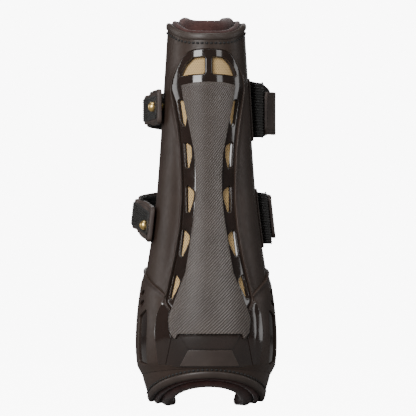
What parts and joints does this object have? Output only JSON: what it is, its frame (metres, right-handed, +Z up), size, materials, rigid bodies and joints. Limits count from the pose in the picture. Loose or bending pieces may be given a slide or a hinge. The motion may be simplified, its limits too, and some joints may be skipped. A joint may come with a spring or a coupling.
{
  "type": "open-front tendon boot",
  "caption": "Open-front tendon boot for a horse's leg: moulded shell with vented frame and strike plate, padded liner, and elastic straps that hook over ball studs.",
  "frame": {"origin": "centre of the boot's bounding box at the height of the liner's foot, which the boot stands on", "axes": "+Z up the leg; -Y back to the tendon, so +Y is the open front; +X is on the right seen from the tendon side, where the straps are sewn on"},
  "size_m": [0.0982, 0.124, 0.27],
  "materials": {
    "shell": "satin",
    "gloss": "gloss",
    "plate": "fine diagonal relief",
    "mesh": "knitted spacer mesh",
    "foam": "closed-cell foam",
    "liner": "brushed knit",
    "binding": "satin synthetic leather",
    "strap": "grained synthetic leather",
    "elastic": "ribbed elastic",
    "brass": "polished"
  },
  "bodies": {
    "boot": {"outer_shell": "shell", "vent_frame": "gloss", "strike_plate": "plate", "air_mesh": "mesh", "heel_inlay": "gloss", "heel_badge": "shell", "fetlock_guard": "shell", "foam_core": "foam", "liner": "liner", "top_liner_flange": "liner", "bottom_liner_flange": "liner", "top_binding": "binding", "bottom_binding": "binding", "left_edge_binding": "binding", "right_edge_binding": "binding", "upper_stud": "brass", "upper_stud_backplate": "brass", "lower_stud": "brass", "lower_stud_backplate": "brass", "upper_anchor_patch": "strap", "upper_elastic_fold": "elastic", "lower_anchor_patch": "strap", "lower_elastic_fold": "elastic"},
    "upper_strap": {"upper_elastic": "elastic", "upper_strap_panel": "strap"},
    "upper_tongue": {"upper_tongue": "strap"},
    "lower_strap": {"lower_elastic": "elastic", "lower_strap_panel": "strap"},
    "lower_tongue": {"lower_tongue": "strap"}
  },
  "joints": [
    {"name": "upper_strap_swing", "type": "hinge", "parent": "boot", "child": "upper_strap", "pos_m": [0.0404, 0.00151, 0.2035], "axis": [0, 0, -1], "range_deg": [0, 150], "deforming": ["upper_tongue"]},
    {"name": "upper_tongue_lift", "type": "hinge", "parent": "upper_strap", "child": "upper_tongue", "pos_m": [-0.038, 0.00912, 0.206], "axis": [0, 0, -1], "range_deg": [0, 55]},
    {"name": "lower_strap_swing", "type": "hinge", "parent": "boot", "child": "lower_strap", "pos_m": [0.0448, 0.00151, 0.1315], "axis": [0.1093, 0, -0.994], "range_deg": [0, 150], "deforming": ["lower_tongue"]},
    {"name": "lower_tongue_lift", "type": "hinge", "parent": "lower_strap", "child": "lower_tongue", "pos_m": [-0.04559, 0.01005, 0.133], "axis": [-0.1051, -0.0302, -0.994], "range_deg": [0, 55]}
  ]
}
